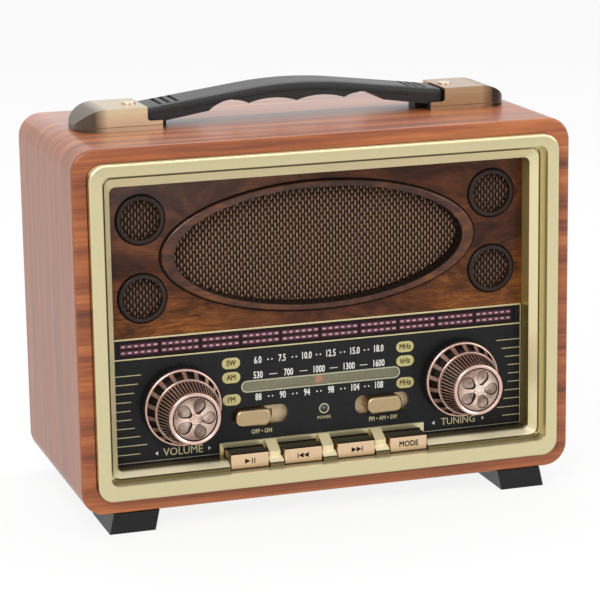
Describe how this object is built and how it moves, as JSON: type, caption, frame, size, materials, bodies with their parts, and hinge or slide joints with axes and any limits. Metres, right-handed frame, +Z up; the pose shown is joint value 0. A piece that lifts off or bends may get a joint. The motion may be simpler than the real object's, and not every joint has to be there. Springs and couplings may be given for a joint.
{
  "type": "tabletop radio",
  "caption": "Retro tabletop radio: wooden cabinet, gold bezel, oval cloth grille, slide-rule dial, copper knobs, piano keys, carrying handle and telescopic aerial.",
  "frame": {"origin": "middle of the footprint of the whole radio on the table, under the feet", "axes": "+X to the right seen from the front, +Y to the back, +Z up"},
  "size_m": [0.25, 0.143, 0.2052],
  "materials": {
    "wood": "satin wood-grain wrap",
    "board_back": "matte black rear panel",
    "gold_satin": "satin champagne gold paint on moulded plastic",
    "burl": "glossy dark burl print",
    "burl_trim": "glossy dark burl moulding",
    "cloth": "open weave in tan over dark brown",
    "ring_brown": "glossy dark brown moulding",
    "dial_black": "black printed dial",
    "light_strip": "smoked diffuser",
    "window_clear": "clear lens",
    "led_lens": "red lens",
    "pointer_red": "red",
    "circuit_board": "green solder mask",
    "black_plastic": "black moulded plastic",
    "soft_black": "soft black moulding",
    "copper": "rose copper plating on moulded plastic",
    "champagne": "satin champagne plating on moulded plastic",
    "brass": "brushed brass plating",
    "chrome": "bright plating",
    "steel": "zinc plated",
    "paper_cone": "black paper cone",
    "ferrite": "ferrite",
    "coil_wire": "enamelled wire",
    "cell_wrap": "shrink wrap",
    "cord": "waxed cord"
  },
  "bodies": {
    "radio": {"cabinet_shell": "wood", "rear_panel": "board_back", "front_bezel": "gold_satin", "case_screws": "steel", "speaker_baffle": "burl", "oval_trim": "burl_trim", "speaker_cloth": "cloth", "grille_rings": "ring_brown", "grille_meshes": "cloth", "dial_panel": "dial_black", "light_strip": "light_strip", "dial_window": "window_clear", "power_led": "led_lens", "main_board": "circuit_board", "key_board": "circuit_board", "key_switches": "black_plastic", "volume_pot": "steel", "tuning_capacitor": "black_plastic", "slide_switches": "black_plastic", "dial_cord": "cord", "pointer_rail": "steel", "speaker_frame": "steel", "speaker_cone": "paper_cone", "speaker_magnet": "ferrite", "speaker_screws": "steel", "battery_tray": "black_plastic", "battery_cells": "cell_wrap", "ferrite_rod": "ferrite", "ferrite_coil": "coil_wire", "ferrite_holders": "black_plastic", "rear_sockets": "steel", "handle_grip": "soft_black", "handle_bracket_left": "brass", "handle_bracket_right": "brass", "handle_bases": "black_plastic", "handle_rivets": "chrome", "feet": "soft_black", "aerial_base": "black_plastic"},
    "volume_control": {"volume_knob_skirt": "black_plastic", "volume_knob": "copper", "volume_knob_cap": "copper", "volume_shaft": "steel"},
    "tuning_control": {"tuning_knob_skirt": "black_plastic", "tuning_knob": "copper", "tuning_knob_cap": "copper", "tuning_shaft": "steel", "tuning_drum": "black_plastic"},
    "pointer": {"dial_pointer": "pointer_red"},
    "idler": {"idler_pulley": "black_plastic"},
    "power_slide": {"power_slider": "champagne"},
    "band_slide": {"band_slider": "champagne"},
    "play_button": {"play_key": "champagne"},
    "previous_button": {"previous_key": "champagne"},
    "next_button": {"next_key": "champagne"},
    "mode_button": {"mode_key": "champagne"},
    "aerial_arm": {"aerial_knuckle": "black_plastic", "aerial_section_1": "chrome"},
    "aerial_middle": {"aerial_section_2": "chrome"},
    "aerial_end": {"aerial_section_3": "chrome"}
  },
  "joints": [
    {"name": "volume_turn", "type": "hinge", "parent": "radio", "child": "volume_control", "pos_m": [-0.072, -0.0431, 0.057], "axis": [0, 1, 0], "range_deg": [-150, 150]},
    {"name": "tuning_turn", "type": "hinge", "parent": "radio", "child": "tuning_control", "pos_m": [0.072, -0.0431, 0.057], "axis": [0, 1, 0], "range_deg": [-135, 135]},
    {"name": "pointer_travel", "type": "slide", "parent": "radio", "child": "pointer", "axis": [1, 0, 0], "range_m": [-0.0362, 0.0362]},
    {"name": "idler_turn", "type": "hinge", "parent": "radio", "child": "idler", "pos_m": [-0.0555, -0.0322, 0.057], "axis": [0, 1, 0], "range_deg": [-136, 136]},
    {"name": "power_switch", "type": "slide", "parent": "radio", "child": "power_slide", "axis": [1, 0, 0], "range_m": [0, 0.0092]},
    {"name": "band_switch", "type": "slide", "parent": "radio", "child": "band_slide", "axis": [1, 0, 0], "range_m": [-0.0046, 0.0046]},
    {"name": "play_press", "type": "slide", "parent": "radio", "child": "play_button", "axis": [0, 1, 0], "range_m": [0, 0.001], "stiffness_N_per_m": 900},
    {"name": "previous_press", "type": "slide", "parent": "radio", "child": "previous_button", "axis": [0, 1, 0], "range_m": [0, 0.001], "stiffness_N_per_m": 900},
    {"name": "next_press", "type": "slide", "parent": "radio", "child": "next_button", "axis": [0, 1, 0], "range_m": [0, 0.001], "stiffness_N_per_m": 900},
    {"name": "mode_press", "type": "slide", "parent": "radio", "child": "mode_button", "axis": [0, 1, 0], "range_m": [0, 0.001], "stiffness_N_per_m": 900},
    {"name": "aerial_swing", "type": "hinge", "parent": "radio", "child": "aerial_arm", "pos_m": [0.096, 0.0674, 0.168], "axis": [0, 1, 0], "range_deg": [0, 180]},
    {"name": "aerial_slide_middle", "type": "slide", "parent": "aerial_arm", "child": "aerial_middle", "axis": [-1, 0, 0], "range_m": [0, 0.135]},
    {"name": "aerial_slide_end", "type": "slide", "parent": "aerial_middle", "child": "aerial_end", "axis": [-1, 0, 0], "range_m": [0, 0.135]}
  ],
  "couplings": [
    {"joint": "pointer_travel", "follows": "tuning_turn", "m_per_rad": 0.015296},
    {"joint": "idler_turn", "follows": "tuning_turn", "ratio": 1}
  ]
}
